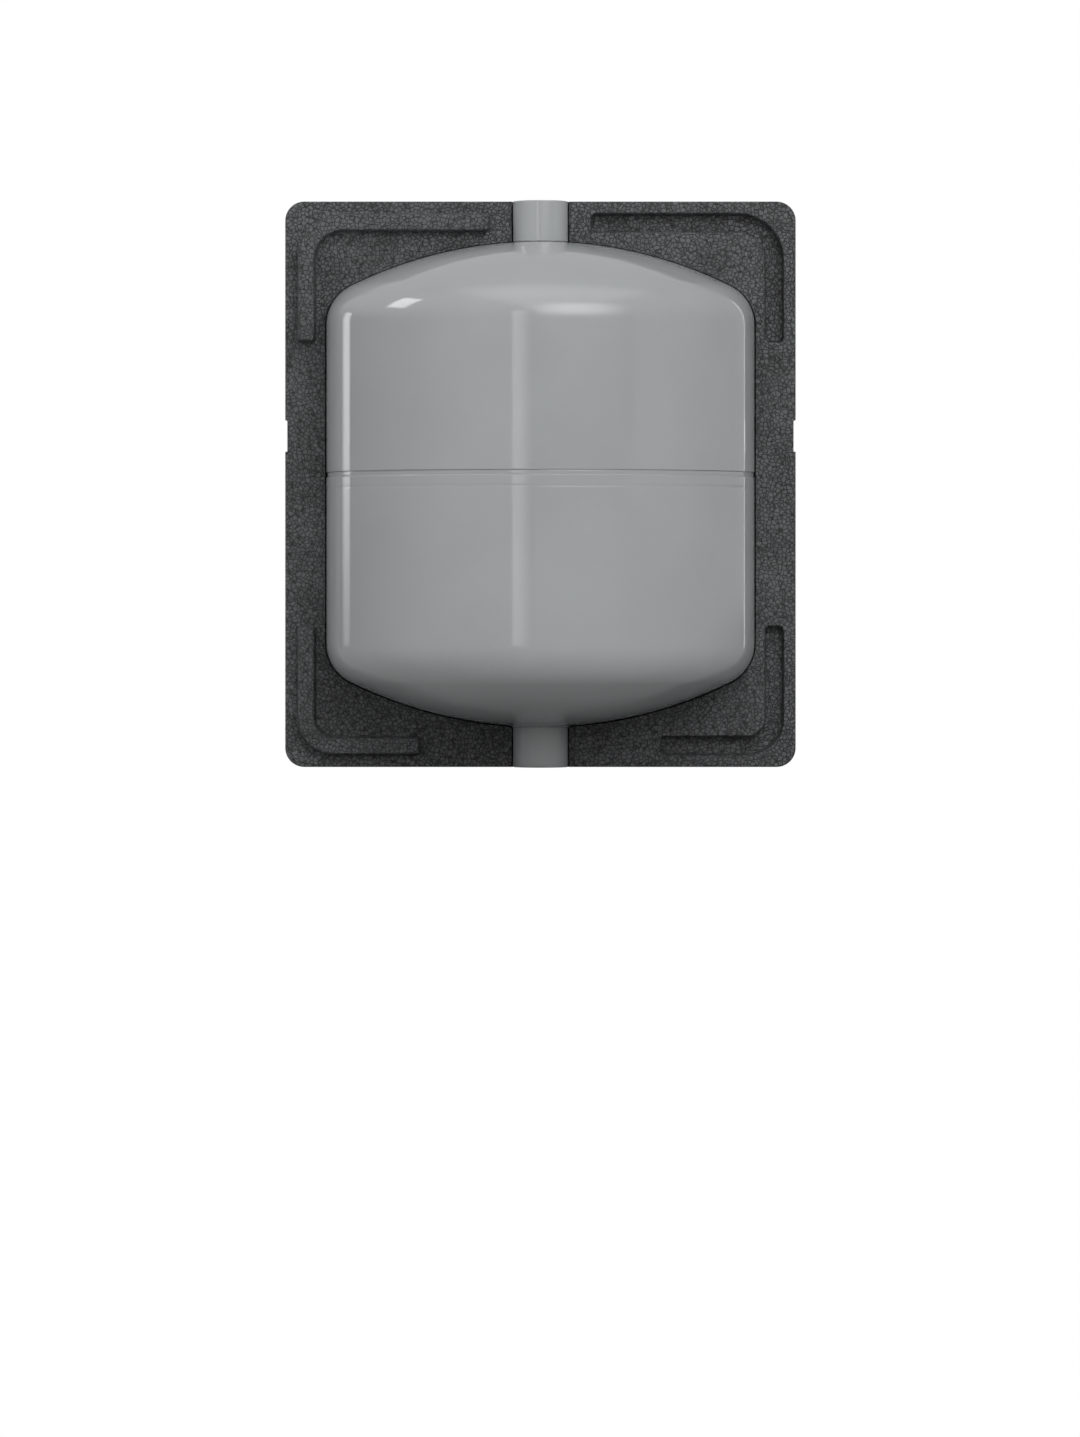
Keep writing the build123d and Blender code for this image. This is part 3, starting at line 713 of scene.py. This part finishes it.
def valve_stem_body():
    """The brass stem: an outline turned round, with its hexagon and its cap thread.

    Over the hexagon the radius is hex_half / cos(a), with a the angle from the nearest flat's
    middle, and its corners are turned off at both faces.  Over the thread it is
    major - depth (1 + cos 2 pi f) / 2, f as in the socket, and the cut runs out at the top.
    """
    seal_top, hex_top, hex_half = boss_top + 1.2, boss_top + 4.7, 5.5
    major, depth, pitch, bore = 3.85, 0.42, 0.794, 2.6
    tube, shank, corner_start, corner_slope = 2.0, 4.0, 5.75, 0.55
    bore_floor, cone_foot = 352.3, 351.7
    round_it, cuts, flat_steps, neck_steps = 144, 84, 6, 3
    thread_z = np.linspace(hex_top + 0.8, stem_top - 0.5, cuts)
    foot = softened([(tube, stem_bottom), (shank, stem_bottom), (shank, seal_top)],
                    (0, 0.3, 0))[1:]
    flats = run((hex_half, seal_top), (hex_half, hex_top), flat_steps)
    neck = run((major - depth, hex_top), (major - depth, hex_top + 0.6), neck_steps)
    thread = np.stack([np.full(cuts, major), thread_z], 1)
    end = np.array([(major - 0.45, stem_top), (bore + 0.15, stem_top), (bore, stem_top - 0.2),
                    (bore, bore_floor), (tube, cone_foot), (tube, stem_bottom + 0.3)])
    outline = np.concatenate([foot, flats, neck, thread, end])
    t = np.arange(round_it)[:, None] * (2 * pi / round_it)
    radius = np.broadcast_to(outline[:, 0], (round_it, len(outline))).copy()
    height = np.broadcast_to(outline[:, 1], radius.shape).copy()

    first, last = len(foot), len(foot) + flat_steps - 1
    hexagon = slice(first, last + 1)
    off = np.mod(t + pi / 6, pi / 3) - pi / 6
    radius[:, hexagon] /= np.cos(off)
    crown_cut = np.clip(radius[:, hexagon] - corner_start, 0, None)
    height[:, last] -= crown_cut[:, -1] * corner_slope
    height[:, first] += crown_cut[:, 0] * corner_slope

    cut = slice(last + 1 + neck_steps, last + 1 + neck_steps + cuts)
    fade = np.clip((stem_top - 0.4 - thread_z) / 0.8, 0, 1)
    groove = depth / 2 * (1 + np.cos(2 * pi * (thread_z / pitch) - t))
    radius[:, cut] -= groove * (0.25 + 0.75 * fade) + 0.1 * (1 - fade)
    return turned_by(radius, height)


skin("valve_stem_turned", valve_stem_body(), "vessel", "brass", ["valve_stem"], crease=28)


def coil_spring():
    """A wire wound five times, its ends closed.

    The wire's middle follows (R cos a, R sin a, z(a)), and z stays level over closed_share of
    the length at both ends and rises evenly between.  A circle of the wire's radius is carried
    along it and shrinks to nearly nothing at both ends.
    """
    wire, turns, steps, closed_share, around_wire, shut = 0.13, 5, 241, 0.08, 12, 1e-4
    low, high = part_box("valve_spring")
    coil_radius = high.x / MM - wire
    share = np.linspace(0, 1, steps)
    angle = share * 2 * pi * turns
    eased = np.clip((share - closed_share) / (1 - 2 * closed_share), 0, 1)
    z = low.z / MM + wire + eased * ((high.z - low.z) / MM - 2 * wire)
    path = np.stack([coil_radius * np.cos(angle), coil_radius * np.sin(angle), z], 1)
    along = np.gradient(path, axis=0)
    along /= np.linalg.norm(along, axis=1)[:, None]
    outward = np.stack([np.cos(angle), np.sin(angle), 0 * angle], 1)
    upward = np.cross(along, outward)
    around = np.linspace(0, 2 * pi, around_wire, endpoint=False)
    width = np.where((share == 0) | (share == 1), shut, wire)[:, None, None]
    rings = path[:, None, :] + width * (
        np.cos(around)[None, :, None] * outward[:, None, :]
        + np.sin(around)[None, :, None] * upward[:, None, :])
    return np.concatenate([rings[:1], rings, rings[-1:]])


spring = tube_skin("valve_spring_coil", coil_spring(), "vessel", "spring_steel",
                   ["valve_spring"])
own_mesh(spring)

# ---------------------------------------------------------------- stage, lights and camera

def lit_white(name, other):
    """White to the camera, and to every other ray the given grey matt surface."""
    material = bpy.data.materials.new(name)
    material.use_nodes = True
    tree = material.node_tree
    tree.nodes.clear()
    path = add(tree, "ShaderNodeLightPath", (-400, 200))
    white = add(tree, "ShaderNodeEmission", (-400, 0), Color=(1, 1, 1, 1), Strength=1.0)
    matt = add(tree, "ShaderNodeBsdfDiffuse", (-400, -200), Color=other)
    pick = add(tree, "ShaderNodeMixShader", (0, 0))
    out = add(tree, "ShaderNodeOutputMaterial", (300, 0))
    join(tree, (path.outputs["Is Camera Ray"], pick.inputs[0]),
         (matt.outputs[0], pick.inputs[1]), (white.outputs[0], pick.inputs[2]),
         (pick.outputs[0], out.inputs["Surface"]))
    return material


# a hair below the vessel and its insulation, so that they don't share a plane with it
floor_size, floor_z = 14.0, -0.0008
floor_mesh = bpy.data.meshes.new("floor")
floor_mesh.from_pydata(
    [(x * floor_size, y * floor_size, floor_z) for x, y in ((-1, -1), (1, -1), (1, 1), (-1, 1))],
    [], [(0, 1, 2, 3)])
floor = bpy.data.objects.new("floor", floor_mesh)
bpy.context.scene.collection.objects.link(floor)
floor_mesh.materials.append(lit_white("pale_floor", grey(0.44)))

# the studio: white to the camera, and a grey that changes from below to above to other rays
world = bpy.data.worlds.new("studio")
bpy.context.scene.world = world
world.use_nodes = True
sky = world.node_tree
sky.nodes.clear()
path = add(sky, "ShaderNodeLightPath", (-400, 300))
facing = add(sky, "ShaderNodeTexCoord", (-1200, 0))
toward = add(sky, "ShaderNodeVectorMath", (-1000, 0), operation="DOT_PRODUCT")
up_front_right = (0.25, -0.2, 0.95)
toward.inputs[1].default_value = up_front_right
sky.links.new(facing.outputs["Generated"], toward.inputs[0])
shade = add(sky, "ShaderNodeValToRGB", (-700, 0))
ramp = shade.color_ramp
cool = -0.01
ramp.elements[0].position, ramp.elements[0].color = 0.0, grey(0.02)
ramp.elements[1].position, ramp.elements[1].color = 1.0, grey(0.20, cool)
for position, value in ((0.40, 0.25), (0.50, 0.60), (0.75, 0.36)):
    stop = ramp.elements.new(position)
    stop.color = grey(value, cool)
sky.links.new(spread(sky, toward.outputs["Value"], -1, 1, smooth=False), shade.inputs["Fac"])
around_light = add(sky, "ShaderNodeBackground", (-400, 0), Strength=1.0)
behind = add(sky, "ShaderNodeBackground", (-400, -200), Color=(1, 1, 1, 1), Strength=1.0)
pick = add(sky, "ShaderNodeMixShader", (-100, 0))
out = add(sky, "ShaderNodeOutputWorld", (200, 0))
join(sky, (shade.outputs["Color"], around_light.inputs["Color"]),
     (path.outputs["Is Camera Ray"], pick.inputs[0]), (around_light.outputs[0], pick.inputs[1]),
     (behind.outputs[0], pick.inputs[2]), (pick.outputs[0], out.inputs["Surface"]))


def soft_box(name, place, aim, size, strength, fades):
    """A light panel of a width and height, facing aim.

    Its glow fades in over the given shares of the panel from its own left, right, bottom and
    top edges.
    """
    mesh = bpy.data.meshes.new(name)
    w, h = size[0] / 2, size[1] / 2
    mesh.from_pydata([(-w, -h, 0), (w, -h, 0), (w, h, 0), (-w, h, 0)], [], [(0, 1, 2, 3)])
    panel = bpy.data.objects.new(name, mesh)
    bpy.context.scene.collection.objects.link(panel)
    panel.location = place
    back = Vector(place) - Vector(aim)
    panel.rotation_euler = (-back).to_track_quat("-Z", "Y").to_euler()
    material = bpy.data.materials.new(name)
    material.use_nodes = True
    tree = material.node_tree
    tree.nodes.clear()
    position = add(tree, "ShaderNodeTexCoord", (-1000, 0))
    parts = add(tree, "ShaderNodeSeparateXYZ", (-800, 0))
    light = add(tree, "ShaderNodeEmission", (200, 0))
    out = add(tree, "ShaderNodeOutputMaterial", (500, 0))
    glow = strength
    for axis, edge, fade in ((0, -w, fades[0]), (0, w, fades[1]), (1, -h, fades[2]),
                             (1, h, fades[3])):
        side = spread(tree, parts.outputs[axis], edge, edge * (1 - 2 * fade))
        glow = figured(tree, "MULTIPLY", side, glow)
    join(tree, (position.outputs["Object"], parts.inputs[0]), (glow, light.inputs["Strength"]),
         (light.outputs[0], out.inputs["Surface"]))
    mesh.materials.append(material)
    panel.visible_camera = False
    panel.visible_shadow = False


soft_box("overhead_box", place=(0.17, -0.45, 1.75), aim=(0.17, -0.45, 0.0), size=(2.5, 1.9),
         strength=1.3, fades=(0.22, 0.22, 0.6, 0.05))
soft_box("front_strip", place=(-0.37, -2.4, 0.45), aim=(0.0, -0.1, 0.45), size=(0.50, 1.5),
         strength=2.4, fades=(0.03, 0.85, 0.3, 0.1))
soft_box("front_box", place=(0.8, -2.2, 1.3), aim=(0.0, -0.1, 0.3), size=(3.2, 2.4),
         strength=5.0, fades=(0.45, 0.5, 0.45, 0.45))
soft_box("high_front_box", place=(0.5, -1.9, 2.1), aim=(0.0, -0.13, 0.3), size=(3.4, 1.2),
         strength=1.3, fades=(0.2, 0.5, 0.4, 0.4))
# left_strip and right_strip give the upright light lines near the vessel's rims, and
# upper_left_strip the small bright patch on its upper knuckle
soft_box("left_strip", place=(-0.98, 0.66, 0.238), aim=(-0.127, -0.06, 0.238),
         size=(0.25, 0.596), strength=2.8, fades=(0.6, 0.06, 0.6, 0.02))
soft_box("upper_left_strip", place=(-0.985, -0.106, 0.877), aim=(-0.088, -0.107, 0.299),
         size=(0.34, 0.45), strength=7.0, fades=(0.2, 0.2, 0.2, 0.2))
soft_box("right_strip", place=(0.80, 0.90, 0.33), aim=(0.132, -0.045, 0.33), size=(0.14, 0.9),
         strength=2.8, fades=(0.3, 0.3, 0.2, 0.05))

camera_data = bpy.data.cameras.new("camera")
camera = bpy.data.objects.new("camera", camera_data)
bpy.context.scene.collection.objects.link(camera)
bpy.context.scene.camera = camera
camera.location = (-0.0003, -4.57, 0.122)
camera.rotation_euler = (radians(90), 0, 0)
camera_data.lens = 175.0
camera_data.sensor_width = 36.0
camera_data.shift_y = -0.096
camera_data.clip_start, camera_data.clip_end = 0.1, 100.0

bpy.context.scene.view_settings.view_transform = "Standard"

bpy.context.view_layer.update()
